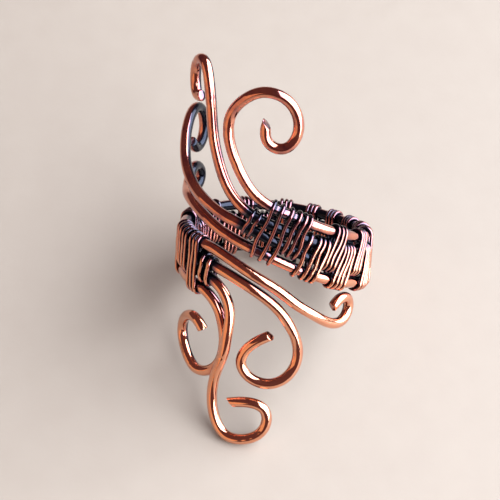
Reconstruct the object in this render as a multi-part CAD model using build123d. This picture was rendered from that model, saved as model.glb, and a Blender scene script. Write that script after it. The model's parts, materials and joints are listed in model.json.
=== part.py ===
from build123d import *
from math import acos, cos, hypot, pi, radians, sin, tan
import os

os.makedirs("parts", exist_ok=True)

# A bypass finger ring of bent and woven copper wire, in millimetres.
#
# Four round base wires run side by side round the finger and climb along it as they go,
# so that the two ends of the band pass each other at the front. Past each end of the band
# every base wire goes on alone and ends in a scroll. A fine weaving wire is wound round
# the base wires, three at a time, and holds them together.
#
# The ring is first laid out round an upright finger. A place on it has a turn, in degrees
# round the finger from the front, a height along the finger and a lift outward from the
# cylinder in which the band lies. At the end the whole ring is laid down on its side.

# Wire and finger sizes
FINGER_BORE = 18.1
BASE_WIRE = 1.2
WEAVE_WIRE = 0.4
# air between the weaving wire and the base wires that it passes
WEAVE_GAP = 0.06
# the weaving wire's front runs are straight, so they stand off this much more
FRONT_STANDOFF = 0.12

# How far the band climbs on its way round, and how far the scrolls reach past its ends
BAND_CLIMB = 8.0
UPPER_REACH = 15.0
LOWER_REACH = 18.0

# How the ring lies by itself, in degrees: turned about the finger, then leaned back until
# it rests on the lowest scroll in front and on the edge of the band behind
LAY_TURN = 2.91
LAY_LEAN = 35.28

# Sizes that follow
WIRE_PITCH = BASE_WIRE + WEAVE_WIRE + 2 * WEAVE_GAP
HALF_PITCH = WIRE_PITCH / 2
BAND_RADIUS = FINGER_BORE / 2 + WEAVE_WIRE + WEAVE_GAP + BASE_WIRE / 2
MM_PER_DEGREE = BAND_RADIUS * pi / 180

# Arcs that a smooth wire is bent in for each row of its table, and the same for the
# band's middle line, which only serves to lay out the wires
WIRE_STEPS = 4
LINE_STEPS = 6
# The slope of the middle line is taken this many degrees either side
SLOPE_REACH = 4
# Largest share of a straight run that the arc at one of its ends may take
ARC_SHARE = 0.49
# Bend of the weaving wire round an edge wire
WEAVE_BEND = 0.97 * HALF_PITCH
# The weaving wire is one on the real ring. Here it is parted by this gap behind the band,
# after a few groups of wraps, so that each stretch has collision of its own
WEAVE_PARTING = 0.1

# The base wires from the upper edge of the band to the lower
BASE_WIRES = ["upper_edge_wire", "upper_middle_wire", "lower_middle_wire", "lower_edge_wire"]

# The band's middle line: turn in degrees, height as a share of BAND_CLIMB. The first row
# and the last two lead on under the end wraps, where the base wires have begun to part.
BAND = [
    (30, 0.08), (57, 0.08), (72, 0.09), (90, 0.07), (110, 0.05), (130, 0.03), (150, 0.01),
    (170, -0.01), (190, -0.04), (210, -0.06), (230, -0.06), (250, -0.03), (270, 0.04),
    (287, 0.12), (305, 0.23), (321, 0.36), (338, 0.52), (354, 0.69), (370, 0.87), (386, 1.04),
]

# Scrolls at the lower end of the band, one list for each base wire, from the tip inward.
# Each row: turn in degrees, height past the end of the band as a share of LOWER_REACH,
# lift in base wire thicknesses.
LOWER_SCROLLS = [
    [(-41, -0.36, 0), (-48, -0.30, 0), (-58, -0.32, 0), (-59, -0.42, 0), (-51, -0.48, 0),
     (-40, -0.46, 0), (-28, -0.38, 0), (-15, -0.30, 0), (-4, -0.20, 0), (10, -0.13, 0),
     (24, -0.06, 0), (39, 0.00, 0)],
    [(-2, -0.40, 0), (12, -0.47, 0), (20, -0.61, 0), (10, -0.72, 0), (-5, -0.74, 0),
     (-17, -0.65, 0), (-20, -0.50, 0), (-14, -0.36, 0), (-5, -0.23, 0), (7, -0.14, 0),
     (21, -0.07, 0), (36, -0.02, 0)],
    [(24, -0.78, 0.4), (10, -0.74, 0.45), (-2, -0.78, 0.5), (-1, -0.94, 0.55),
     (11, -1.01, 0.6), (25, -1.01, 0.65), (32, -0.88, 0.7), (34, -0.75, 0.7),
     (32, -0.60, 0.7), (26, -0.46, 0.7), (25, -0.32, 0.7), (24, -0.18, 0.2),
     (31, -0.06, 0), (42, 0.00, 0)],
    [(45, -0.27, 0.15), (54, -0.19, 0.15), (69, -0.25, 0.15), (76, -0.38, 0.15),
     (66, -0.48, 0.1), (54, -0.57, 0), (41, -0.54, -0.25), (32, -0.45, -0.3),
     (30, -0.32, -0.35), (32, -0.20, -0.35), (36, -0.08, -0.2), (46, 0.00, 0)],
]

# Scrolls at the upper end, from the band outward to the tip. Turns go on from the front,
# heights are shares of UPPER_REACH.
UPPER_SCROLLS = [
    [(369, 0.10, 0), (379, 0.22, 0), (387, 0.38, 0), (393, 0.54, 0), (393, 0.71, 0),
     (384, 0.84, 0), (372, 0.93, 0), (358, 0.90, 0), (349, 0.77, 0), (348, 0.60, 0),
     (357, 0.48, 0), (370, 0.55, 0), (368, 0.72, 0)],
    [(370, 0.07, 0), (383, 0.16, 0), (393, 0.29, 0), (400, 0.47, 0), (405, 0.64, 0),
     (407, 0.83, 0), (410, 1.02, 0), (415, 1.18, 0), (428, 1.12, -0.05), (431, 0.97, -0.1),
     (427, 0.85, -0.15), (419, 0.88, -0.15)],
    [(378, 0.12, 0), (392, 0.17, 0.3), (404, 0.23, 0.35), (418, 0.30, 0.35),
     (430, 0.39, 0.35), (442, 0.49, 0.25), (451, 0.61, 0.2), (462, 0.73, 0), (476, 0.74, 0),
     (482, 0.62, 0), (482, 0.46, 0), (473, 0.38, 0), (464, 0.49, 0)],
    [(376, 0.07, 0), (389, 0.11, -0.2), (401, 0.16, -0.2), (414, 0.22, -0.2),
     (428, 0.26, -0.15), (441, 0.27, -0.1), (455, 0.27, -0.1), (464, 0.38, -0.1),
     (475, 0.38, -0.1), (481, 0.28, -0.1), (474, 0.18, -0.1), (465, 0.22, -0.1)],
]

# The weave is a row of wrap groups. Its first and last groups show at the front and have
# places of their own, one list for each stretch of the weaving wire. Each row: turn of the
# first wrap, degrees from wrap to wrap, number of wraps, topmost and lowest base wire that
# they go round, counted from 0 at the upper edge, and the degrees by which a wrap leans.
FIRST_STRETCHES = [
    [(40.3, 5.4, 2, 1, 2, 0.0), (50.2, 3.6, 3, 0, 3, 0.0)],
    [(63.0, 4.3, 5, 0, 2, 0.0)],
]
LAST_STRETCHES = [
    [(307.6, 2.9, 4, 1, 3, 0.5), (319.8, 3.1, 3, 0, 2, 1.2)],
    [(329.1, 3.1, 3, 1, 3, 1.6), (341.1, 3.1, 1, 1, 3, 2.4), (346.2, 3.3, 3, 0, 2, 2.8)],
    [(358.2, 5.2, 3, 0, 3, 5.0), (372.0, 4.2, 2, 1, 2, 2.2)],
]
# Between them the groups go by turns round the lower and the upper three base wires, and
# each stretch holds a pair of them. Each row: turn of the first pair, degrees from pair to
# pair, number of pairs, wraps in a lower group, degrees from wrap to wrap, and the degrees
# by which the upper group comes later.
PAIR_ROWS = [
    (88.0, 26.5, 4, 4, 3.1, 15.0),
    (193.3, 17.6, 5, 3, 2.9, 8.9),
    (281.1, 26.5, 1, 4, 3.1, 15.0),
]
UPPER_GROUP_WRAPS = 3
WRAP_STEP = 3.1


def smooth(rows, steps):
    """Places along the cubic B-spline steered by the rows, which it reaches at both ends."""
    lead_in = [2 * a - b for a, b in zip(rows[0], rows[1])]
    lead_out = [2 * a - b for a, b in zip(rows[-1], rows[-2])]
    rows = [lead_in] + rows + [lead_out]
    spans = len(rows) - 3
    places = []
    for step in range(spans * steps + 1):
        span = min(step // steps, spans - 1)
        u = step / steps - span
        # how strongly each of the four nearest rows pulls, in sixths
        pulls = [
            (1 - u) ** 3,
            3 * u ** 3 - 6 * u ** 2 + 4,
            -3 * u ** 3 + 3 * u ** 2 + 3 * u + 1,
            u ** 3,
        ]
        nearest = rows[span:span + 4]
        places.append(tuple(
            sum(pull * row[axis] for pull, row in zip(pulls, nearest)) / 6 for axis in range(3)
        ))
    return places


def height_at(places, turn):
    """Height of a smoothed line where it passes a turn, its places being in order of turn."""
    for start, end in zip(places, places[1:]):
        if turn <= end[0]:
            break
    return start[1] + (end[1] - start[1]) * (turn - start[0]) / (end[0] - start[0])


MIDDLE_LINE = smooth([(turn, share * BAND_CLIMB, 0) for turn, share in BAND], LINE_STEPS)


def offset_of(wire):
    """How far a base wire, counted from 0 at the upper edge, lies above the middle line."""
    return ((len(BASE_WIRES) - 1) / 2 - wire) * WIRE_PITCH


def across_band(turn, offset):
    """Turn and height of the point offset upward, square to the band's middle line."""
    behind = height_at(MIDDLE_LINE, turn - SLOPE_REACH)
    ahead = height_at(MIDDLE_LINE, turn + SLOPE_REACH)
    slope = (ahead - behind) / (2 * SLOPE_REACH * MM_PER_DEGREE)
    share = offset / hypot(1, slope)
    return turn - slope * share / MM_PER_DEGREE, height_at(MIDDLE_LINE, turn) + share


def control_rows(wire):
    """Rows (turn, height, lift) that steer one base wire from its lower to its upper tip."""
    band = [across_band(turn, offset_of(wire)) + (0,) for turn, share in BAND[1:-2]]
    band_start = band[0][1]
    band_end = band[-1][1]
    lower = [
        (turn, band_start + share * LOWER_REACH, lift * BASE_WIRE)
        for turn, share, lift in LOWER_SCROLLS[wire]
    ]
    upper = [
        (turn, band_end + share * UPPER_REACH, lift * BASE_WIRE)
        for turn, share, lift in UPPER_SCROLLS[wire]
    ]
    return lower + band + upper


def point(turn, height, lift):
    """The point in space at a turn, height and lift."""
    radius = BAND_RADIUS + lift
    return Vector(-radius * sin(radians(turn)), -radius * cos(radians(turn)), height)


def bent_wire(points, thickness, bend):
    """A round wire along straight runs joined by tangent arcs.

    The arcs have the radius bend, or less where the runs are too short for it. With bend
    of None each arc is as wide as its two runs allow.
    """
    edges = []
    start = points[0]
    for before, corner, after in zip(points, points[1:], points[2:]):
        back = before - corner
        ahead = after - corner
        room = ARC_SHARE * min(back.length, ahead.length)
        back = back.normalized()
        ahead = ahead.normalized()
        half = acos(max(-1, min(1, back.dot(ahead)))) / 2
        reach = room if bend is None else min(room, bend / tan(half))
        arc_start = corner + back * reach
        arc_end = corner + ahead * reach
        inward = (back + ahead).normalized()
        arc_middle = corner + inward * reach * (1 / cos(half) - tan(half))
        edges.append(Edge.make_line(start, arc_start))
        edges.append(Edge.make_three_point_arc(arc_start, arc_middle, arc_end))
        start = arc_end
    edges.append(Edge.make_line(start, points[-1]))
    profile = Plane(origin=points[0], z_dir=points[1] - points[0]) * Circle(thickness / 2)
    return sweep(profile, path=Wire(edges)).solid()


def weave_stretches():
    """The stretches of the weave, from the lower end to the upper, each a list of wraps.

    A wrap is its turn, the topmost and lowest base wire that it goes round and its lean.
    """
    pairs = []
    for first, between, count, wraps, step, later in PAIR_ROWS:
        for number in range(count):
            turn = first + between * number
            pairs.append([
                (turn, step, wraps, 1, 3, 0.0),
                (turn + later, step, UPPER_GROUP_WRAPS, 0, 2, 0.0),
            ])
    stretches = []
    for rows in FIRST_STRETCHES + pairs + LAST_STRETCHES:
        stretches.append([
            (first + step * number, top, low, lean)
            for first, step, count, top, low, lean in rows
            for number in range(count)
        ])
    return stretches


def band_part(wire, places):
    """The part of a smoothed base wire that lies in the band."""
    first = WIRE_STEPS * (len(LOWER_SCROLLS[wire]) - 2)
    return places[first:first + WIRE_STEPS * (len(BAND) + 1)]


def weave_corners(wraps, smoothed):
    """Corners of the weaving wire's route, four for each wrap, round the smoothed wires."""
    in_band = [band_part(wire, places) for wire, places in enumerate(smoothed)]

    def corner(turn, wire, side, lift):
        inner = across_band(turn, offset_of(wire))
        outer = across_band(turn, offset_of(wire) + side * HALF_PITCH)
        height = height_at(in_band[wire], inner[0]) + outer[1] - inner[1]
        return point(outer[0], height, lift)

    starts = [turn for turn, top, low, lean in wraps]
    nexts = starts[1:] + [starts[-1] + WRAP_STEP]
    front = HALF_PITCH + FRONT_STANDOFF
    corners = []
    for (turn, top, low, lean), following in zip(wraps, nexts):
        middle = turn + min(following - turn, WRAP_STEP) / 2 - lean
        corners.append(corner(turn, top, 1, -HALF_PITCH))
        corners.append(corner(turn, top, 1, front))
        corners.append(corner(middle, low, -1, front))
        corners.append(corner(middle, low, -1, -HALF_PITCH))
    return corners


def parting(corner, other):
    """Where the run from one corner to the other is parted, on the first corner's side."""
    run = other - corner
    return corner + run.normalized() * (run.length - WEAVE_PARTING) / 2


def weave_routes(smoothed):
    """The route of each stretch of the weaving wire round the smoothed base wires."""
    stretches = weave_stretches()
    corners = weave_corners(sum(stretches, []), smoothed)
    routes = []
    start = 0
    for wraps in stretches:
        end = start + 4 * len(wraps)
        before = [parting(corners[start], corners[start - 1])] if start else []
        after = [parting(corners[end - 1], corners[end])] if end < len(corners) else []
        routes.append(before + corners[start:end] + after)
        start = end
    return routes


# Bend the wires round the upright finger
smoothed = [smooth(control_rows(wire), WIRE_STEPS) for wire in range(len(BASE_WIRES))]
nodes = {}
for name, places in zip(BASE_WIRES, smoothed):
    nodes[name] = [bent_wire([point(*place) for place in places], BASE_WIRE, None)]
nodes["weaving_wire"] = [
    bent_wire(route, WEAVE_WIRE, WEAVE_BEND) for route in weave_routes(smoothed)
]

# Lay the ring down, and seat it on the ground with the middle of its box over the origin
lay = Rot(-LAY_LEAN, 0, 0) * Rot(0, 0, LAY_TURN)
laid = {name: [lay * solid for solid in solids] for name, solids in nodes.items()}
boxes = [solid.bounding_box() for solids in laid.values() for solid in solids]
lowest = [min(tuple(box.min)[axis] for box in boxes) for axis in range(3)]
highest = [max(tuple(box.max)[axis] for box in boxes) for axis in range(3)]
seat = Pos(-(lowest[0] + highest[0]) / 2, -(lowest[1] + highest[1]) / 2, -lowest[2])

# Write the nodes
for name, solids in laid.items():
    placed = [seat * solid for solid in solids]
    export_step(placed[0] if len(placed) == 1 else Compound(placed), "parts/" + name + ".step")
    print(name, len(placed), "solids", round(sum(solid.volume for solid in placed), 2), "mm3")
print("size", [round(b - a, 2) for a, b in zip(lowest, highest)])
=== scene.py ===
# %% [markdown]
# # A woven copper ring, finished in Blender
#
# This lesson dresses a finger ring that was bent from four thick copper wires and bound
# with one fine wire. The wires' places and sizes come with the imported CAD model, so here
# we only give every wire the shape of something bent, snipped and rubbed by hand, and the
# finish of copper that was darkened on purpose and then polished where a cloth could reach.
#
# The model is packed in metres. The tables below are in millimetres and degrees, because
# that is how a wire worker measures, and one function turns them into places in the scene.

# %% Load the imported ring
import json
import math

import bpy
import numpy as np
from mathutils import Matrix, Vector
from mathutils.bvhtree import BVHTree
from mathutils.kdtree import KDTree


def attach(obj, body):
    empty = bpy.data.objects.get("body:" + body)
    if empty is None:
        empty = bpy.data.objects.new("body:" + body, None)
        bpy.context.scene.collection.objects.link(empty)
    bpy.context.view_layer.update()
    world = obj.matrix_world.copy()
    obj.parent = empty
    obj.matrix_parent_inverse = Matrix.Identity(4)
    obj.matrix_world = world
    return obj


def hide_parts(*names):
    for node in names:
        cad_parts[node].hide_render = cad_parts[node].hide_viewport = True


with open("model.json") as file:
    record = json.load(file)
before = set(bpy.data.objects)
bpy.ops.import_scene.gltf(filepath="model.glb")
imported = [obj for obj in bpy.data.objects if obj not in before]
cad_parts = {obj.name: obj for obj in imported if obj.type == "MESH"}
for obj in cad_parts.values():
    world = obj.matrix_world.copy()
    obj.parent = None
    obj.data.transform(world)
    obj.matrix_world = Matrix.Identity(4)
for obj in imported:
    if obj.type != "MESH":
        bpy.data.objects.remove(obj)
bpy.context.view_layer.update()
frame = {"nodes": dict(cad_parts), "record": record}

print("nodes:", ", ".join(sorted(frame["nodes"])))

# %% [markdown]
# ## Where the ring lies
#
# The wires are laid out round an upright finger, which is the easy way to think of them: a
# place has a turn in degrees round the finger, a height along it, and a lift off the
# cylinder that the band lies on. The real ring leans back from there, and rests on its
# lowest scroll and on the band's edge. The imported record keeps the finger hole's middle and
# axis, so the same lean is worked out from it. The ring has also turned a little about that
# axis, which the record can't show, so the turn is written here.

# %% Sizes and the way from the upright finger to the floor
MM = 0.001
BASE_WIRE = 1.2
WEAVE_WIRE = 0.4
FINGER_BORE = 18.1
WIRE_PITCH = 1.72
WEAVE_ROOM = 0.46
BAND_RADIUS = FINGER_BORE / 2 + WEAVE_ROOM + BASE_WIRE / 2
MM_PER_DEGREE = BAND_RADIUS * math.pi / 180
LAY_TURN = 2.91

hole = next(m for m in frame["record"]["mounts"] if m["name"] == "finger_hole")
FINGER_AT = np.array(hole["pos_m"]) / MM
lean = -math.atan2(hole["axis"][1], hole["axis"][2])
LAY = np.array(Matrix.Rotation(lean, 3, "X") @ Matrix.Rotation(math.radians(LAY_TURN), 3, "Z"))


def place(turn, height, lift):
    """Points in the scene, in mm, for arrays of turns, heights and lifts."""
    radius = BAND_RADIUS + lift
    around = np.radians(turn)
    upright = np.stack([-radius * np.sin(around), -radius * np.cos(around), height], axis=-1)
    return upright @ LAY.T + FINGER_AT


print("finger axis leans", round(math.degrees(lean), 2), "degrees")

# %% [markdown]
# ## The lines that the four base wires follow
#
# Each base wire starts as a scroll below the band, goes once round the finger and ends as a
# scroll above it. A short table steers each stretch. A cubic B-spline passes near the
# table's rows and gives the even curve of wire bent over a round tool, because it never
# kinks. The band's rows are shared: every base wire keeps its own distance from one middle
# line.

# %% Tables of the band and of the scrolls
BAND_CLIMB = 8.0
UPPER_REACH = 15.0
LOWER_REACH = 18.0
BASE_WIRES = ["upper_edge_wire", "upper_middle_wire", "lower_middle_wire", "lower_edge_wire"]

# turn in degrees, height as a share of BAND_CLIMB
BAND = [
    (30, 0.08), (57, 0.08), (72, 0.09), (90, 0.07), (110, 0.05), (130, 0.03), (150, 0.01),
    (170, -0.01), (190, -0.04), (210, -0.06), (230, -0.06), (250, -0.03), (270, 0.04),
    (287, 0.12), (305, 0.23), (321, 0.36), (338, 0.52), (354, 0.69), (370, 0.87), (386, 1.04),
]
# turn, height past the band's end as a share of LOWER_REACH, lift in wire thicknesses
LOWER_SCROLLS = [
    [(-41, -0.36, 0), (-48, -0.30, 0), (-58, -0.32, 0), (-59, -0.42, 0), (-51, -0.48, 0),
     (-40, -0.46, 0), (-28, -0.38, 0), (-15, -0.30, 0), (-4, -0.20, 0), (10, -0.13, 0),
     (24, -0.06, 0), (39, 0.00, 0)],
    [(-2, -0.40, 0), (12, -0.47, 0), (20, -0.61, 0), (10, -0.72, 0), (-5, -0.74, 0),
     (-17, -0.65, 0), (-20, -0.50, 0), (-14, -0.36, 0), (-5, -0.23, 0), (7, -0.14, 0),
     (21, -0.07, 0), (36, -0.02, 0)],
    [(24, -0.78, 0.4), (10, -0.74, 0.45), (-2, -0.78, 0.5), (-1, -0.94, 0.55),
     (11, -1.01, 0.6), (25, -1.01, 0.65), (32, -0.88, 0.7), (34, -0.75, 0.7),
     (32, -0.60, 0.7), (26, -0.46, 0.7), (25, -0.32, 0.7), (24, -0.18, 0.2),
     (31, -0.06, 0), (42, 0.00, 0)],
    [(45, -0.27, 0.15), (54, -0.19, 0.15), (69, -0.25, 0.15), (76, -0.38, 0.15),
     (66, -0.48, 0.1), (54, -0.57, 0), (41, -0.54, -0.25), (32, -0.45, -0.3),
     (30, -0.32, -0.35), (32, -0.20, -0.35), (36, -0.08, -0.2), (46, 0.00, 0)],
]
# the same above the band, heights as shares of UPPER_REACH
UPPER_SCROLLS = [
    [(369, 0.10, 0), (379, 0.22, 0), (387, 0.38, 0), (393, 0.54, 0), (393, 0.71, 0),
     (384, 0.84, 0), (372, 0.93, 0), (358, 0.90, 0), (349, 0.77, 0), (348, 0.60, 0),
     (357, 0.48, 0), (370, 0.55, 0), (368, 0.72, 0)],
    [(370, 0.07, 0), (383, 0.16, 0), (393, 0.29, 0), (400, 0.47, 0), (405, 0.64, 0),
     (407, 0.83, 0), (410, 1.02, 0), (415, 1.18, 0), (428, 1.12, -0.05), (431, 0.97, -0.1),
     (427, 0.85, -0.15), (419, 0.88, -0.15)],
    [(378, 0.12, 0), (392, 0.17, 0.3), (404, 0.23, 0.35), (418, 0.30, 0.35),
     (430, 0.39, 0.35), (442, 0.49, 0.25), (451, 0.61, 0.2), (462, 0.73, 0), (476, 0.74, 0),
     (482, 0.62, 0), (482, 0.46, 0), (473, 0.38, 0), (464, 0.49, 0)],
    [(376, 0.07, 0), (389, 0.11, -0.2), (401, 0.16, -0.2), (414, 0.22, -0.2),
     (428, 0.26, -0.15), (441, 0.27, -0.1), (455, 0.27, -0.1), (464, 0.38, -0.1),
     (475, 0.38, -0.1), (481, 0.28, -0.1), (474, 0.18, -0.1), (465, 0.22, -0.1)],
]
print(len(BASE_WIRES), "base wires,", len(BAND), "rows for the band")


# %% Smooth lines through the tables
FINE_STEPS = 24
SLOPE_REACH = 4


def smooth(rows, steps=FINE_STEPS):
    """Places along the cubic B-spline steered by the rows, reaching both ends."""
    rows = np.array(rows, float)
    rows = np.vstack([2 * rows[0] - rows[1], rows, 2 * rows[-1] - rows[-2]])
    u = np.linspace(0, 1, steps + 1)[:, None]
    pulls = np.hstack([(1 - u) ** 3, 3 * u ** 3 - 6 * u ** 2 + 4,
                       -3 * u ** 3 + 3 * u ** 2 + 3 * u + 1, u ** 3]) / 6
    spans = [(pulls @ rows[k:k + 4])[:-1] for k in range(len(rows) - 3)]
    return np.vstack(spans + [pulls[-1:] @ rows[-4:]])


MIDDLE_LINE = smooth([(turn, share * BAND_CLIMB) for turn, share in BAND])


def offset_of(wire):
    """How far a base wire lies above the band's middle line."""
    return ((len(BASE_WIRES) - 1) / 2 - wire) * WIRE_PITCH


def middle_height(turn):
    return np.interp(turn, MIDDLE_LINE[:, 0], MIDDLE_LINE[:, 1])


def across_band(turn, offset):
    """Turn and height of points offset upward, square to the band's middle line."""
    rise = middle_height(turn + SLOPE_REACH) - middle_height(turn - SLOPE_REACH)
    slope = rise / (2 * SLOPE_REACH * MM_PER_DEGREE)
    share = offset / np.hypot(1, slope)
    return turn - slope * share / MM_PER_DEGREE, middle_height(turn) + share


def base_line(wire):
    """Turn, height and lift along one base wire, from its lower to its upper tip."""
    band = [(*across_band(turn, offset_of(wire)), 0) for turn, _ in BAND[1:-2]]
    lower = [(turn, band[0][1] + share * LOWER_REACH, lift * BASE_WIRE)
             for turn, share, lift in LOWER_SCROLLS[wire]]
    upper = [(turn, band[-1][1] + share * UPPER_REACH, lift * BASE_WIRE)
             for turn, share, lift in UPPER_SCROLLS[wire]]
    return smooth(lower + band + upper)


base_lines = [base_line(wire) for wire in range(len(BASE_WIRES))]
for name, line in zip(BASE_WIRES, base_lines):
    path = place(*line.T)
    print(name, round(float(np.linalg.norm(np.diff(path, axis=0), axis=1).sum()), 1), "mm long")

# %% [markdown]
# ## A wire as a mesh
#
# Blender can bevel a curve into a tube, but a snipped wire is not a plain tube: its tip is
# slanted by the cutter's jaws and pinched a little, pliers leave small flats and nicks, and
# fine wire that was rubbed hard is a little flatter on its outside. So the tube is built
# ring by ring. A frame of two directions is carried along the line without spinning, and
# every ring of points is set out from it. Each point also remembers where it was before the
# wire was bent. The finish uses that to draw scratches along the wire.

# %% Carry a frame along a line
def lengths_along(path):
    return np.concatenate([[0], np.cumsum(np.linalg.norm(np.diff(path, axis=0), axis=1))])


def evenly(path, step):
    """The same line with its points at even distances."""
    along = lengths_along(path)
    even = np.linspace(0, along[-1], int(round(along[-1] / step)) + 1)
    return np.stack([np.interp(even, along, path[:, k]) for k in range(3)], axis=-1)


def unit(vectors):
    return vectors / np.linalg.norm(vectors, axis=-1, keepdims=True)


def finger_out(points):
    """The direction straight out from the finger at each point."""
    upright = (points - FINGER_AT) @ LAY
    upright[:, 2] = 0
    return unit(upright) @ LAY.T


def carried_frame(path, first_out):
    """Directions along the line and out of it, carried on from first_out without spin."""
    ahead = unit(np.gradient(path, axis=0))
    out = np.empty_like(path)
    side = np.cross(ahead[0], np.cross(first_out, ahead[0]))
    for k in range(len(path)):
        side = side - ahead[k] * (side @ ahead[k])
        side = side / np.sqrt(side @ side)
        out[k] = side
    return ahead, out


first_path = place(*base_lines[0].T)
ahead, out = carried_frame(first_path, finger_out(first_path)[0])
leaning = np.abs((ahead * out).sum(axis=1)).max()
print("largest cosine between the line and the carried direction:", format(leaning, ".1e"))

# %% [markdown]
# A tip is described by a slant, the distance between its long and its short side, by the
# way that the long side faces, by a roof, the share of the slant that is cut as a ridge from
# two sides, and by a pinch, the share of the thickness that the cutter squeezed away. All of
# it fades out within a short stretch of the wire.

# %% Tips
TIP_REACH = 1.6


def near_tip(depth):
    """1 at a tip, and 0 from TIP_REACH behind it."""
    return np.clip(1 - depth / TIP_REACH, 0, 1) ** 2


def tip_shift(depth, angle, snip, faces):
    """How far the points near a tip draw back from it, at a depth behind the tip."""
    leaning = (1 - np.cos(angle - faces)) / 2
    ridged = np.abs(np.sin(angle - faces))
    drawn_back = leaning * (1 - snip["roof"]) + ridged * snip["roof"]
    return snip["slant"] * drawn_back * near_tip(depth)


def facing_angle(snip, ahead, out, end):
    """The angle round the wire that faces the same way as the tip's long side."""
    side = np.cross(ahead[end], out[end])
    return math.atan2(float(side @ snip["long"]), float(out[end] @ snip["long"]))


print("a snip reaches", TIP_REACH, "mm up the wire")

# %% [markdown]
# Rubbing and pliers change the radius. A flat takes metal from two opposite sides and lets
# it swell between them. A nick is short and on one side only.

# %% Rubbed and pressed wire
def rubbed_radius(radius, flattened, path, out, side, angle):
    """The radius of a wire that is flatter on its sides toward and away from the finger."""
    away = finger_out(path)
    away_out, away_side = [(way * away).sum(axis=1)[:, None] for way in (out, side)]
    across = away_out * np.cos(angle) + away_side * np.sin(angle)
    flatter = flattened * (2 * across ** 2 - away_out ** 2 - away_side ** 2)
    return radius * (1 - flatter)


def pressed_radius(radius, along, angle, length, flats, nicks):
    """The radius after pliers pressed flats and nicks into the wire."""
    for share, faces, depth, reach in flats:
        near = np.exp(-((along - share * length) / reach) ** 2)
        radius = radius - depth * near * np.cos(2 * (angle - faces))
    for share, faces, depth, reach in nicks:
        near = np.exp(-((along - share * length) / reach) ** 2)
        radius = radius - depth * (near * np.clip(np.cos(angle - faces), 0, 1) ** 3)
    return radius


def wire_piece(name, path, thickness, sides, tips, flats=(), nicks=(), flattened=0.0):
    """A mesh object of a round wire along the path, in metres."""
    along = lengths_along(path)
    ahead, out = carried_frame(path, tips[0]["out"])
    side = np.cross(ahead, out)
    angle = np.arange(sides) * 2 * np.pi / sides
    s = np.repeat(along[:, None], sides, axis=1)
    a = np.repeat(angle[None, :], len(path), axis=0)
    radius = rubbed_radius(thickness / 2, flattened, path, out, side, a)
    radius = pressed_radius(radius, s, a, along[-1], flats, nicks)
    unbent = np.stack([s, radius * np.cos(a), radius * np.sin(a)], axis=-1)
    moved = s.copy()
    for snip, from_end in ((tips[0], False), (tips[1], True)):
        depth = along[-1] - s if from_end else s
        faces = facing_angle(snip, ahead, out, -1 if from_end else 0)
        shift = tip_shift(depth, a, snip, faces)
        moved = moved + (-shift if from_end else shift)
        squeeze = snip["pinch"] * near_tip(depth)
        radius = radius * (1 - squeeze * np.cos(a - faces) ** 2)

    def at(values):
        return np.stack([np.interp(moved, along, values[:, k]) for k in range(3)], axis=-1)

    points = at(path) + radius[..., None] * (
        np.cos(a)[..., None] * at(out) + np.sin(a)[..., None] * at(side))
    return tube_object(name, points, unbent)


print("a wire can be rubbed, pressed and snipped")

# %% [markdown]
# The rings become quads, and each end is closed by two smaller rings and a middle point. The
# first smaller ring is only a hair's breadth in, so the cut keeps a thin bright burr.

# %% From rings to an object
BURR = 0.04
LIP_SHARE = 0.9
DISH_SHARE = 0.45


def closing_rings(ring, inner_ring):
    """The two smaller rings that close an end, the larger one first."""
    middle = ring.mean(axis=0)
    outward = unit(middle - inner_ring.mean(axis=0))
    return [middle + (ring - middle) * share + outward * BURR
            for share in (LIP_SHARE, DISH_SHARE)]


def tube_object(name, points, unbent):
    """Joins rings of points into one closed mesh and keeps the unbent places."""
    start = closing_rings(points[0], points[1])
    end = closing_rings(points[-1], points[-2])
    rings = start[::-1] + list(points) + end
    flat = [unbent[0]] * 2 + list(unbent) + [unbent[-1]] * 2
    sides = len(points[0])
    corners = np.vstack(rings + [rings[0].mean(axis=0)[None], rings[-1].mean(axis=0)[None]])
    places = np.vstack(flat + [flat[0].mean(axis=0)[None], flat[-1].mean(axis=0)[None]])
    ring = np.arange(len(rings) - 1)[:, None] * sides
    here = np.arange(sides)[None, :]
    beside = (here + 1) % sides
    quads = np.stack([ring + here, ring + beside, ring + sides + beside, ring + sides + here], -1)
    first, last = len(corners) - 2, len(corners) - 1
    top = (len(rings) - 1) * sides
    caps = [(first, (k + 1) % sides, k) for k in range(sides)]
    caps += [(last, top + k, top + (k + 1) % sides) for k in range(sides)]
    mesh = bpy.data.meshes.new(name)
    mesh.from_pydata((corners * MM).tolist(), [], quads.reshape(-1, 4).tolist() + caps)
    mesh.shade_smooth()
    kept = mesh.attributes.new("unbent", "FLOAT_VECTOR", "POINT")
    kept.data.foreach_set("vector", places.astype(np.float32).ravel())
    mesh.update()
    piece = bpy.data.objects.new(name, mesh)
    bpy.context.scene.collection.objects.link(piece)
    return piece


print("a cut keeps a burr of", BURR, "mm")

# %% [markdown]
# ## Bend the base wires
#
# The tips on the real ring were all snipped a little differently. Those of the large scrolls
# run out into a point, the lowest scroll's is cut on a slant, and those of the small curls
# are cut nearly square. Shallow flats and a few nicks in the scrolls show where pliers
# gripped the wire.

# %% The snips
BASE_SIDES = 20
BASE_STEP = 0.14


def tip(place_on_line, toward, slant, pinch=0.0, roof=0.0):
    """A snip: toward is how far its long side faces outward, up the finger and round it."""
    turn, height, lift = place_on_line
    centre = place(turn, height, -BAND_RADIUS)
    out = unit(place(turn, height, lift) - centre)
    up = LAY[:, 2]
    round_finger = np.cross(up, out)
    long = out * toward[0] + up * toward[1] + round_finger * toward[2]
    return {"out": out, "long": long, "slant": slant, "pinch": pinch, "roof": roof}


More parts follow.
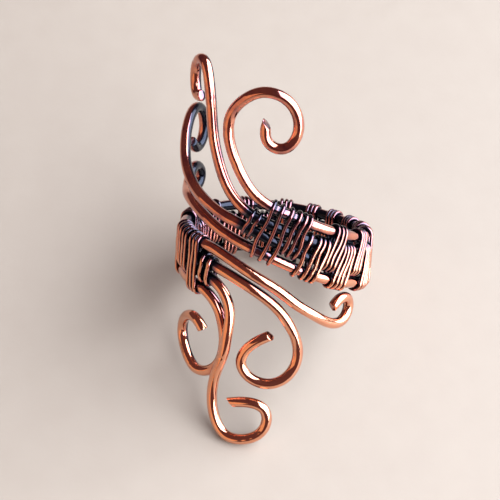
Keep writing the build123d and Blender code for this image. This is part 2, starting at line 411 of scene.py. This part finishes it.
# the lower tip, then the upper tip, each as: (how far the long side faces outward, up the
# finger and round it), slant, pinch, roof
SNIPS = {
    "upper_edge_wire": [((0, -1, 0), 0.5, 0.25, 0.3), ((-0.2, 0.2, -1), 1.0, 0.35, 0.0)],
    "upper_middle_wire": [((-0.7, -1, 0), 0.6, 0.1, 0.2), ((0.6, 0, 0), 0.3, 0.1, 0.0)],
    "lower_middle_wire": [((-0.7, 1, 0), 0.8, 0.1, 0.0), ((0.6, 0, 0), 0.3, 0.1, 0.0)],
    "lower_edge_wire": [((0.5, 1, 0), 0.4, 0.2, 0.0), ((0.6, 0, 0), 0.3, 0.1, 0.0)],
}
print("snips for", len(SNIPS), "base wires")

# %% The base wires
ALL_ROUND = 6.28
# how many marks, and the lightest and heaviest: way they face in radians, depth and reach
BASE_FLATS = 12
BASE_FLAT_RANGE = ((0, 0.01, 0.3), (ALL_ROUND, 0.025, 1.2))
SCROLL_NICKS = 5
NICK_RANGE = ((0, 0.02, 0.12), (ALL_ROUND, 0.045, 0.3))
# the stretches of a base wire that are scrolls, as shares of its length
LOWER_SCROLL = (0.02, 0.2)
UPPER_SCROLL = (0.75, 0.97)
rng = np.random.default_rng(11)


def marks(shares, lightest, heaviest):
    """A mark at each share of a wire's length, with a way to face, a depth and a reach."""
    return [(share, *rng.uniform(lightest, heaviest)) for share in shares]


pieces = {}
for wire, name in enumerate(BASE_WIRES):
    line = base_lines[wire]
    path = evenly(place(*line.T), BASE_STEP)
    tips = [tip(line[end], *SNIPS[name][end]) for end in (0, -1)]
    spots = np.concatenate([rng.uniform(*scroll, SCROLL_NICKS)
                            for scroll in (LOWER_SCROLL, UPPER_SCROLL)])
    flats = marks(rng.uniform(0, 1, BASE_FLATS), *BASE_FLAT_RANGE)
    nicks = marks(spots, *NICK_RANGE)
    pieces[name] = wire_piece(name + "_bent", path, BASE_WIRE, BASE_SIDES, tips, flats, nicks)
    print(name, len(pieces[name].data.polygons), "faces")

# %% [markdown]
# ## Wind the weaving wire
#
# One fine wire is wound by turns round the three lower and the three upper base wires, and
# round all four or only two of them near its ends. It was pulled tight. Seen across the band
# every wrap is a stadium: straight over the crests of the base wires and half round at the
# two outer ones. The groups stand closer together behind, and the last wraps lean. By hand
# no wrap is quite like the one before, so each gets a small shift and a slow sideways wave.

# %% The wraps, as on the real ring
# turn of the first wrap, step, wraps, topmost wire, lowest wire, lean of a wrap in degrees
FIRST_GROUPS = [(40.3, 5.4, 2, 1, 2, 0.0), (50.2, 3.6, 3, 0, 3, 0.0), (63.0, 4.3, 5, 0, 2, 0.0)]
LAST_GROUPS = [
    (307.6, 2.9, 4, 1, 3, 0.5), (319.8, 3.1, 3, 0, 2, 1.2), (329.1, 3.1, 3, 1, 3, 1.6),
    (341.1, 3.1, 1, 1, 3, 2.4), (346.2, 3.3, 3, 0, 2, 2.8), (358.2, 5.2, 3, 0, 3, 5.0),
    (372.0, 4.2, 2, 1, 2, 2.2),
]
# turn of the first pair, degrees from pair to pair, pairs, wraps in a lower group, step, and
# how much later the upper group comes
PAIR_ROWS = [
    (88.0, 26.5, 4, 4, 3.1, 15.0), (193.3, 17.6, 5, 3, 2.9, 8.9), (281.1, 26.5, 1, 4, 3.1, 15.0),
]
UPPER_GROUP_WRAPS = 3
WRAP_STEP = 3.1


def weave_wraps():
    """Every wrap as (turn, topmost wire, lowest wire, lean), in order of turn."""
    groups = list(FIRST_GROUPS)
    for first, between, count, lower_wraps, step, later in PAIR_ROWS:
        for turn in (first + between * number for number in range(count)):
            groups.append((turn, step, lower_wraps, 1, 3, 0.0))
            groups.append((turn + later, step, UPPER_GROUP_WRAPS, 0, 2, 0.0))
    return [(first + step * k, top, low, lean)
            for first, step, count, top, low, lean in groups + LAST_GROUPS for k in range(count)]


wraps = weave_wraps()
print(len(wraps), "wraps")

# %% Places beside the base wires
WEAVE_SLACK = 0.01
WEAVE_OUT = (BASE_WIRE + WEAVE_WIRE) / 2 + WEAVE_SLACK


def band_stretch(line, wire):
    """The part of a base wire's line that lies in the band, in order of turn."""
    first = FINE_STEPS * (len(LOWER_SCROLLS[wire]) - 2)
    return line[first:first + FINE_STEPS * (len(BAND) + 1)]


in_band = [band_stretch(line, wire) for wire, line in enumerate(base_lines)]


def beside_wire(turn, wire, offset, lift):
    """Places at an offset across the band and a lift from the middle of one base wire."""
    inner_turn, inner_height = across_band(turn, offset_of(wire))
    outer_turn, outer_height = across_band(turn, offset_of(wire) + offset)
    line = in_band[wire]
    height = np.interp(inner_turn, line[:, 0], line[:, 1]) + outer_height - inner_height
    wire_lift = np.interp(inner_turn, line[:, 0], line[:, 2])
    return np.stack(np.broadcast_arrays(outer_turn, height, wire_lift + lift), axis=-1)


print("the weave's middle lies", round(WEAVE_OUT, 2), "mm from that of a base wire")

# %% The weaving wire's line
ARC_POINTS = 13
RUN_POINTS = 14
WEAVE_STEP = 0.125
SOFTENED = 3
# how uneven the hand is, in degrees: where a wrap starts, where it turns back, the waves of
# its outer run, how much a leaning wrap adds to them, and the waves of its inner run
START_SHIFT = 0.25
TURN_SHIFT = 0.2
OUTER_WAVE = 0.45
LEAN_WAVE = 0.1
INNER_WAVE = 0.2


def run(start, end, wave):
    """A straight run between two places, with a sideways wave that dies at its ends."""
    u = np.linspace(0, 1, RUN_POINTS)[1:-1, None]
    line = start + (end - start) * u
    line[:, :1] += wave[0] * np.sin(np.pi * u) + wave[1] * np.sin(2 * np.pi * u)
    return line


def weave_line(wraps):
    """Turn, height and lift along the whole weaving wire."""
    phi = np.linspace(0, np.pi, ARC_POINTS)
    sine, cosine = np.sin(phi) * WEAVE_OUT, np.cos(phi) * WEAVE_OUT
    turns = np.array([turn for turn, top, low, lean in wraps])
    turns = turns + rng.uniform(-START_SHIFT, START_SHIFT, len(turns))
    nexts = np.append(turns[1:], turns[-1] + WRAP_STEP)
    parts = []
    for k, ((_, top, low, lean), turn, following) in enumerate(zip(wraps, turns, nexts)):
        half_way = turn + min(following - turn, WRAP_STEP) / 2
        middle = half_way + rng.uniform(-TURN_SHIFT, TURN_SHIFT) - lean
        wave = OUTER_WAVE + LEAN_WAVE * lean
        over = beside_wire(turn, top, sine, -cosine)
        under = beside_wire(middle, low, -sine, cosine)
        parts.append(over)
        parts.append(run(over[-1], under[0], rng.uniform(-wave, wave, 2)))
        parts.append(under)
        if k + 1 < len(wraps):
            ahead = beside_wire(following, wraps[k + 1][1], 0.0, -WEAVE_OUT)
            parts.append(run(under[-1], ahead, rng.uniform(-INNER_WAVE, INNER_WAVE, 2)))
    return np.vstack(parts)


def soften(path, rounds):
    """Takes the last corners out of an evenly stepped line."""
    for _ in range(rounds):
        path[1:-1] = path[1:-1] * 0.5 + (path[:-2] + path[2:]) * 0.25
    return path


weave = weave_line(wraps)
weave_path = soften(evenly(place(*weave.T), WEAVE_STEP), SOFTENED)
print("weaving wire", round(float(lengths_along(weave_path)[-1])), "mm long")

# %% The weaving wire's mesh
WEAVE_SIDES = 10
WEAVE_FLATTENED = 0.1
WEAVE_SNIP = ((0, 1, 0), 0.2, 0.3)
WEAVE_FLATS = 260
WEAVE_FLAT_RANGE = ((0, 0.01, 0.3), (ALL_ROUND, 0.04, 1.2))

weave_tips = [tip(weave[end], *WEAVE_SNIP) for end in (0, -1)]
flats = marks(rng.uniform(0, 1, WEAVE_FLATS), *WEAVE_FLAT_RANGE)
pieces["weaving_wire"] = wire_piece("weaving_wire_wound", weave_path, WEAVE_WIRE, WEAVE_SIDES,
                                    weave_tips, flats, flattened=WEAVE_FLATTENED)
print("weaving wire", len(pieces["weaving_wire"].data.polygons), "faces")

# %% [markdown]
# ## Where the dark stays
#
# The maker darkened the whole ring in liver of sulphur and then rubbed it bright. A cloth
# never gets between the wires, so the dark stays there. We measure that directly: from
# every third or fourth ring of points about a dozen rays are sent outward, and we note the
# share that soon hits wire. Nearer wire counts for more. It costs a few seconds and is the
# same on every run.

# %% Measure how hidden each point is
# how far a ray looks and how many there are, how far off the surface they start, how
# squarely one has to leave it, how much less a far hit counts, and which rings are measured
HIDDEN_REACH = 1.5
RAYS = 26
RAY_START = 0.02
LEAST_FACING = 0.15
FAR_HIT_EASES = 0.6
BASE_STRIDE = 3
WEAVE_STRIDE = 4


def sphere_directions(count):
    """Directions spread evenly over a sphere."""
    k = np.arange(count) + 0.5
    polar, turn = np.arccos(1 - 2 * k / count), np.pi * (1 + 5 ** 0.5) * k
    return np.stack([np.cos(turn) * np.sin(polar), np.sin(turn) * np.sin(polar), np.cos(polar)], -1)


def all_wires_tree():
    corners, faces, first = [], [], 0
    for piece in pieces.values():
        mesh = piece.data
        co = np.empty(len(mesh.vertices) * 3, np.float32)
        mesh.vertices.foreach_get("co", co)
        corners += co.reshape(-1, 3).tolist()
        faces += [[first + v for v in face.vertices] for face in mesh.polygons]
        first += len(mesh.vertices)
    return BVHTree.FromPolygons(corners, faces)


def hidden_share(tree, point, normal, directions):
    """From 0, open to the air, to 1, shut in by wires."""
    total = shut = 0.0
    start = point + normal * (RAY_START * MM)
    for direction in directions:
        facing = direction.dot(normal)
        if facing > LEAST_FACING:
            total += facing
            hit = tree.ray_cast(start, direction, HIDDEN_REACH * MM)
            if hit[0] is not None:
                shut += facing * (1 - FAR_HIT_EASES * hit[3] / (HIDDEN_REACH * MM))
    return shut / total


def measured_shelter(mesh, sides, tree, stride):
    """How hidden each point is, measured on some rings and spread over those between."""
    directions = [Vector(d) for d in sphere_directions(RAYS)]
    rings = (len(mesh.vertices) - 2) // sides
    measured = np.arange(0, rings, stride)
    found = np.zeros((len(measured), sides))
    for row, ring in enumerate(measured):
        for side in range(sides):
            vertex = mesh.vertices[int(ring) * sides + side]
            found[row, side] = hidden_share(tree, vertex.co, vertex.normal, directions)
    values = np.stack([np.interp(np.arange(rings), measured, found[:, side])
                       for side in range(sides)], axis=-1).ravel()
    return np.append(values, [values[0], values[-1]])


tree = all_wires_tree()
hidden = {}
for name, piece in pieces.items():
    if name == "weaving_wire":
        hidden[name] = measured_shelter(piece.data, WEAVE_SIDES, tree, WEAVE_STRIDE)
    else:
        hidden[name] = measured_shelter(piece.data, BASE_SIDES, tree, BASE_STRIDE)
    print(name, "is hidden by", round(float(hidden[name].mean()), 2), "on average")

# %% [markdown]
# Film also stays where the rays find little: on the side toward the finger, where a cloth
# is only drawn through, on the flanks of the woven wires, in the trough beside the weave and
# on the cuts. The share toward the finger is also painted shade, as the inside of the ring
# lies in its own shade, and on the scrolls' sides toward the finger it also paints dark
# reflections. The colour is also made darker toward the upper end of the band and on the
# last wraps. So each such place has a share of its own, given here, which is added to the
# measure.

# %% Shares of film and painted shade by place
# where a base wire faces the finger, in the band and in the scrolls, and on its flanks; facing
# the finger it is film and also painted shade in the band, and film and painted dark
# reflections on the scrolls
INNER_FILM_AND_SHADE = 0.8
SCROLL_FILM_AND_SHADE = 0.8
SIDE_SHELTER = 0.15
# how far a scroll's side faces the finger where its film and painted dark reflections begin,
# and where they are full
SCROLL_INNER = (0.2, 0.55)
# the weave, toward the finger, where it is film and also painted shade, and on its flanks
INNER_WEAVE_FILM_AND_SHADE = 0.1
SIDE_WEAVE_SHELTER = 0.3
# the band reaches this far above and below its middle line, in mm
HALF_BAND = 4.4
# beside the weave, up to this far from its middle, in mm
TROUGH_SHELTER = 0.5
TROUGH_REACH = 1.4
CUT_SHELTER = 0.2
# the colour is darker toward the upper end, growing up to this height in mm
DARKER_UPWARD = 0.22
WEAVE_DARKER_UPWARD = 0.42
DARKENING_FULL_AT = 6.0
# darker on the last wraps, as a turn and how far they reach to both sides of it, in degrees
LAST_WRAPS_DARKER = 0.09
LAST_WRAPS_MIDDLE = 10
LAST_WRAPS_HALF = 24


def in_trough(mesh, weave_places):
    """How near each point is to the weave, from 0 to 1."""
    near = KDTree(len(weave_places))
    for index, spot in enumerate(weave_places):
        near.insert(Vector(spot * MM), index)
    near.balance()
    gaps = np.array([near.find(vertex.co)[2] for vertex in mesh.vertices]) / MM
    return np.clip((TROUGH_REACH - gaps) / (TROUGH_REACH - WEAVE_WIRE), 0, 1)


def points_and_normals(mesh):
    """Where the points of a mesh are, in mm, and which way its surface faces there."""
    kept = [np.empty(len(mesh.vertices) * 3, np.float32) for _ in range(2)]
    mesh.vertices.foreach_get("co", kept[0])
    mesh.vertex_normals.foreach_get("vector", kept[1])
    return kept[0].reshape(-1, 3) / MM, kept[1].reshape(-1, 3)


print("the upper film is full", DARKENING_FULL_AT, "mm up the finger")

# %% Film and painted shade on the base wires and on the weave
def film_and_shade_on_base_wire(values, inward, buffed, woven):
    # on the scrolls' sides toward the finger film and painted dark reflections, and in the band
    # film and painted shade toward the finger
    inner = np.clip((inward - SCROLL_INNER[0]) / (SCROLL_INNER[1] - SCROLL_INNER[0]), 0, 1)
    values = values + SCROLL_FILM_AND_SHADE * inner * inner * (3 - 2 * inner) * (1 - woven)
    return values + (INNER_FILM_AND_SHADE * inward + SIDE_SHELTER * (1 - buffed)) * woven


def film_and_shade_on_weave(values, inward, buffed, turn):
    # toward the finger film and painted shade, on the flanks film, and darker on the last wraps
    values = values + INNER_WEAVE_FILM_AND_SHADE * inward + SIDE_WEAVE_SHELTER * (1 - buffed)
    away = np.abs((turn - LAST_WRAPS_MIDDLE + 180) % 360 - 180)
    return values + LAST_WRAPS_DARKER * np.clip(LAST_WRAPS_HALF - away, 0, 1)


def mark_film_and_shade(name, piece, values):
    """Keeps each point's share of dark patina and painted shade, as "sheltered"."""
    mesh = piece.data
    points, normals = points_and_normals(mesh)
    outward = (normals * finger_out(points)).sum(axis=1)
    inward, buffed = np.clip(-outward, 0, 1), np.clip(outward, 0, 1) ** 2
    across, along, height = ((points - FINGER_AT) @ LAY).T
    turn = np.degrees(np.arctan2(-across, -along)) % 360
    woven = np.clip(HALF_BAND - np.abs(height - middle_height(turn)), 0, 1)
    if name == "weaving_wire":
        values = film_and_shade_on_weave(values, inward, buffed, turn)
        values = values + WEAVE_DARKER_UPWARD * np.clip(height / DARKENING_FULL_AT, 0, 1)
    else:
        values = film_and_shade_on_base_wire(values, inward, buffed, woven)
        values = values + DARKER_UPWARD * np.clip(height / DARKENING_FULL_AT, 0, 1)
        if name in ("upper_middle_wire", "lower_middle_wire"):
            values = values + TROUGH_SHELTER * in_trough(mesh, weave_path)
        values[:BASE_SIDES * 2] += CUT_SHELTER
        values[-BASE_SIDES * 2 - 2:] += CUT_SHELTER
    # the sum is film, with painted shade and painted dark reflections on the finger side
    kept = mesh.attributes.new("sheltered", "FLOAT", "POINT")
    kept.data.foreach_set("value", values.astype(np.float32))
    return values


for name, piece in pieces.items():
    values = mark_film_and_shade(name, piece, hidden[name])
    print(name, "is sheltered by", round(float(values.mean()), 2), "on average")

# %% [markdown]
# ## Shader sums as plain sums
#
# A finish is a small net of nodes. Writing it as sums keeps it readable, so one class wraps
# a socket: adding or multiplying two of them adds the Math node that does it. Colours and
# vectors go through the one method that can make any node.

# %% A socket that can be added and multiplied
class Socket:
    """One output of a node, with sums that add Math nodes."""

    def __init__(self, finish, socket):
        self.finish, self.socket = finish, socket

    def math(self, operation, first, second):
        settings = {"operation": operation}
        return self.finish.node("ShaderNodeMath", settings, {0: first, 1: second})

    def __add__(self, other):
        return self.math("ADD", self, other)

    def __radd__(self, other):
        return self.math("ADD", other, self)

    def __sub__(self, other):
        return self.math("SUBTRACT", self, other)

    def __rsub__(self, other):
        return self.math("SUBTRACT", other, self)

    def __mul__(self, other):
        return self.math("MULTIPLY", self, other)

    def __rmul__(self, other):
        return self.math("MULTIPLY", other, self)

    def between(self, low, high):
        """0 below low, 1 above high and smooth in between."""
        settings = {"interpolation_type": "SMOOTHSTEP"}
        sockets = {"Value": self, "From Min": low, "From Max": high}
        return self.finish.node("ShaderNodeMapRange", settings, sockets)


class Finish:
    """A material and its nodes."""

    def __init__(self, name):
        self.material = bpy.data.materials.new(name)
        self.material.use_nodes = True
        self.tree = self.material.node_tree
        self.surface = self.tree.nodes["Principled BSDF"]

    def node(self, kind, settings=None, sockets=None, output=0):
        """Adds a node: its settings first, then the values or links of its sockets."""
        node = self.tree.nodes.new(kind)
        for key, value in (settings or {}).items():
            if key == "stops":
                self.set_stops(node, value)
            else:
                setattr(node, key, value)
        for key, value in (sockets or {}).items():
            self.feed(self.find(node.inputs, key), value)
        return Socket(self, self.find(node.outputs, output))

    def set_stops(self, node, stops):
        elements = node.color_ramp.elements
        while len(elements) < len(stops):
            elements.new(0.5)
        for element, (position, color) in zip(elements, stops):
            element.position = position
            element.color = (*color, 1)

    def find(self, sockets, key):
        if isinstance(key, int):
            return sockets[key]
        return next(s for s in sockets if s.enabled and key in (s.name, s.identifier))

    def feed(self, socket, value):
        if isinstance(value, Socket):
            self.tree.links.new(value.socket, socket)
        elif hasattr(value, "__len__") and len(value) == 3 and socket.type == "RGBA":
            socket.default_value = (*value, 1)
        else:
            socket.default_value = value

    def shade(self, **sockets):
        """Feeds the surface's own sockets, named with _ for a space."""
        for key, value in sockets.items():
            self.feed(self.surface.inputs[key.replace("_", " ")], value)

    def mix(self, share, first, second):
        """A colour from first, at share 0, to second, at share 1."""
        sockets = {"Factor": share, "A": first, "B": second}
        return self.node("ShaderNodeMix", {"data_type": "RGBA"}, sockets, "Result")

    def kept(self, name, output="Fac"):
        """What the mesh keeps under a name."""
        return self.node("ShaderNodeAttribute", {"attribute_name": name}, None, output)

    def noise(self, vector, scale, detail=3.0, rough=0.5):
        sockets = {"Vector": vector, "Scale": scale, "Detail": detail, "Roughness": rough}
        return self.node("ShaderNodeTexNoise", None, sockets, 0)

    def stretch(self, vector, factors):
        settings = {"operation": "MULTIPLY"}
        return self.node("ShaderNodeVectorMath", settings, {0: vector, 1: factors})

    def bump(self, height, strength, distance, below=None):
        sockets = {"Height": height, "Strength": strength, "Distance": distance}
        if below:
            sockets["Normal"] = below
        return self.node("ShaderNodeBump", None, sockets)


print("finishes can be written as sums")

# %% [markdown]
# ## Rubbed copper
#
# Polished copper has no colour of its own in the usual sense: it tints what it mirrors. So
# the finish is metallic, and most of the look comes from what is round the ring. The
# sulphide film tints it further, and its colour follows its thickness: copper orange where
# it was rubbed off, then maroon, then plum, and blue-black where it is thick. Thick film is
# also a little duller and less metallic. A clear coat over the metal gives the whiter glints
# of a hard polish beside the tinted ones, and fades where the film is thick. Fine scratches
# run along the wire from drawing it through a plate.

# %% The finish of both kinds of wire
# noise, in waves for each mm of wire: clouds and spots of film, scratches that are long in
# the wire's direction and fine across it, and shallow dents
CLOUD_SCALE = 0.55
SPOT_SCALE = 2.6
SCRATCH_SCALES = (0.25, 9.0, 9.0)
DENT_SCALE = 1.4
SCRATCH_DEPTH = 0.02
DENT_DEPTH = 0.05
# where film begins to dull the metal, and where it does so fully
DULL_FILM = (0.5, 0.8)
# how much film and painted shade there is, and the colour that it gives the copper
FILM_AND_SHADE_COLOURS = [
    (0.05, (0.74, 0.30, 0.15)), (0.25, (0.60, 0.19, 0.10)), (0.40, (0.34, 0.085, 0.075)),
    (0.52, (0.15, 0.04, 0.055)), (0.62, (0.045, 0.035, 0.065)), (0.74, (0.006, 0.008, 0.015)),
]


def copper(name, film_left, roughness):
    """Copper that was darkened and rubbed bright; film_left is what the cloth missed."""
    finish = Finish(name)
    unbent = finish.kept("unbent", "Vector")
    cloudy = finish.noise(unbent, CLOUD_SCALE, 4.0, 0.6)
    spots = finish.noise(unbent, SPOT_SCALE, 4.0, 0.65)
    uneven = (cloudy - 0.5) * 0.6 + (spots - 0.5) * 0.3
    # the kept share is film, and also painted shade and dark reflections on the finger side
    film_and_shade = finish.kept("sheltered") + uneven + film_left
    tint = finish.node("ShaderNodeValToRGB", {"stops": FILM_AND_SHADE_COLOURS}, {"Fac": film_and_shade})
    dark = film_and_shade.between(*DULL_FILM)
    drawn = finish.noise(finish.stretch(unbent, SCRATCH_SCALES), 1.0, 3.0, 0.6)
    dents = finish.noise(unbent, DENT_SCALE, 2.0, 0.5)
    normal = finish.bump(drawn, 0.05, SCRATCH_DEPTH * MM)
    normal = finish.bump(dents, 0.25, DENT_DEPTH * MM, normal)
    rough = roughness + (drawn - 0.5) * 0.12 + dark * 0.1
    finish.shade(Base_Color=tint, Metallic=1 - dark * 0.1, Roughness=rough, Normal=normal,
                 Coat_Weight=0.5 - dark * 0.42, Coat_Roughness=0.08, Coat_IOR=2.0)
    return finish.material


base_copper = copper("rubbed_copper_base_wire", film_left=0.03, roughness=0.1)
weave_copper = copper("rubbed_copper_weaving_wire", film_left=-0.1, roughness=0.15)

for name, piece in pieces.items():
    fine = name == "weaving_wire"
    piece.data.materials.append(weave_copper if fine else base_copper)
    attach(piece, "root")
    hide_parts(name)
print("dressed", len(pieces), "wires")

# %% [markdown]
# ## A pale floor
#
# The ring lies on a plain pale table top. It is wide enough to fill every view, and its
# finish is a matt warm beige with a very faint unevenness, so that it reads as a surface.

# %% The floor
FLOOR_HALF = 2.5
GRAIN_SCALE = 260.0
GRAIN_DEPTH = 0.0002

floor_mesh = bpy.data.meshes.new("table_top")
floor_corners = [(FLOOR_HALF * x, FLOOR_HALF * y, 0)
                 for x, y in ((-1, -1), (1, -1), (1, 1), (-1, 1))]
floor_mesh.from_pydata(floor_corners, [], [(0, 1, 2, 3)])
table_top = bpy.data.objects.new("table_top", floor_mesh)
bpy.context.scene.collection.objects.link(table_top)
pale = Finish("matt_table_top")
where = pale.node("ShaderNodeTexCoord", None, None, "Object")
grain = pale.noise(where, GRAIN_SCALE, 4.0, 0.6)
pale.shade(Base_Color=pale.mix(grain, (0.31, 0.26, 0.20), (0.335, 0.285, 0.22)),
           Roughness=0.55 + grain * 0.2, Normal=pale.bump(grain, 0.15, GRAIN_DEPTH))
floor_mesh.materials.append(pale.material)
print("floor", 2 * FLOOR_HALF, "m wide")

# %% [markdown]
# ## Light
#
# Bright metal shows its lights as shapes, so there is one large soft window, up on the
# right, which draws the long white streaks along the wires. A smaller and much weaker
# warm light at the left is the wall there, and gives the wires their orange edges. The
# rest of the room is a dim maroon, so that the copper keeps its deep red beside the
# streaks. The Standard view transform leaves the streaks white and the dark parts dark.

# %% The window, the warm wall and the room
def soft_light(name, toward, distance, size, watts, color):
    """An oblong area light in a direction from the ring, facing it."""
    data = bpy.data.lights.new(name, "AREA")
    data.shape = "RECTANGLE"
    data.size, data.size_y = size
    data.energy = watts
    data.color = color
    light = bpy.data.objects.new(name, data)
    direction = Vector(toward).normalized()
    aim = Vector(FINGER_AT * MM)
    light.location = aim + direction * distance
    light.rotation_euler = direction.to_track_quat("Z", "Y").to_euler()
    bpy.context.scene.collection.objects.link(light)
    return light


soft_light("window", toward=(0.80, -0.05, 0.60), distance=0.45, size=(0.95, 0.60),
           watts=17.0, color=(0.90, 0.97, 1.14))
soft_light("warm_wall", toward=(-0.85, -0.60, 0.24), distance=0.50, size=(0.60, 0.32),
           watts=0.58, color=(1.0, 0.70, 0.42))

ROOM_COLOR = (0.15, 0.075, 0.085)
room = bpy.data.worlds.new("dim_room")
room.use_nodes = True
room.node_tree.nodes["Background"].inputs["Color"].default_value = (*ROOM_COLOR, 1)
room.node_tree.nodes["Background"].inputs["Strength"].default_value = 1.0
bpy.context.scene.world = room
bpy.context.scene.view_settings.view_transform = "Standard"
print("two soft lights and a dim room")

# %% [markdown]
# ## The camera
#
# The photo was taken close up with a long lens, looking down on the ring at about 55
# degrees. The camera's place was worked out in the upright finger's own frame, so it is
# turned and leaned here in the same way as the ring.

# %% The camera
IMAGE = 500
FOCAL_PIXELS = 1945
SENSOR = 36
NEAREST = 0.01
CAMERA_AWAY = 220
CAMERA_TILT = math.radians(20)
CAMERA_ROLL = math.radians(3)
RING_SEEN_AT = (273.5, 254)

forward = np.array([0, math.cos(CAMERA_TILT), -math.sin(CAMERA_TILT)])
right = np.array([1.0, 0, 0])
up = np.array([0, math.sin(CAMERA_TILT), math.cos(CAMERA_TILT)])
right, up = (math.cos(CAMERA_ROLL) * right + math.sin(CAMERA_ROLL) * up,
             math.cos(CAMERA_ROLL) * up - math.sin(CAMERA_ROLL) * right)
forward, right, up = LAY @ forward, LAY @ right, LAY @ up
spot = FINGER_AT - CAMERA_AWAY * forward
# the ring's middle is a little right of the picture's middle, so the camera looks past it
aside = (RING_SEEN_AT[0] - IMAGE / 2) / FOCAL_PIXELS
below = (RING_SEEN_AT[1] - IMAGE / 2) / FOCAL_PIXELS
look = unit(forward - aside * right + below * up)
right = unit(np.cross(look, up))
up = np.cross(right, look)

lens = bpy.data.cameras.new("camera")
lens.sensor_width = SENSOR
lens.lens = SENSOR * FOCAL_PIXELS / IMAGE
lens.clip_start = NEAREST
camera = bpy.data.objects.new("camera", lens)
matrix = Matrix(np.stack([right, up, -look], axis=-1).tolist()).to_4x4()
matrix.translation = Vector(spot * MM)
camera.matrix_world = matrix
bpy.context.scene.collection.objects.link(camera)
bpy.context.scene.camera = camera
print("camera looks down at", round(math.degrees(-math.asin(look[2])), 1), "degrees")
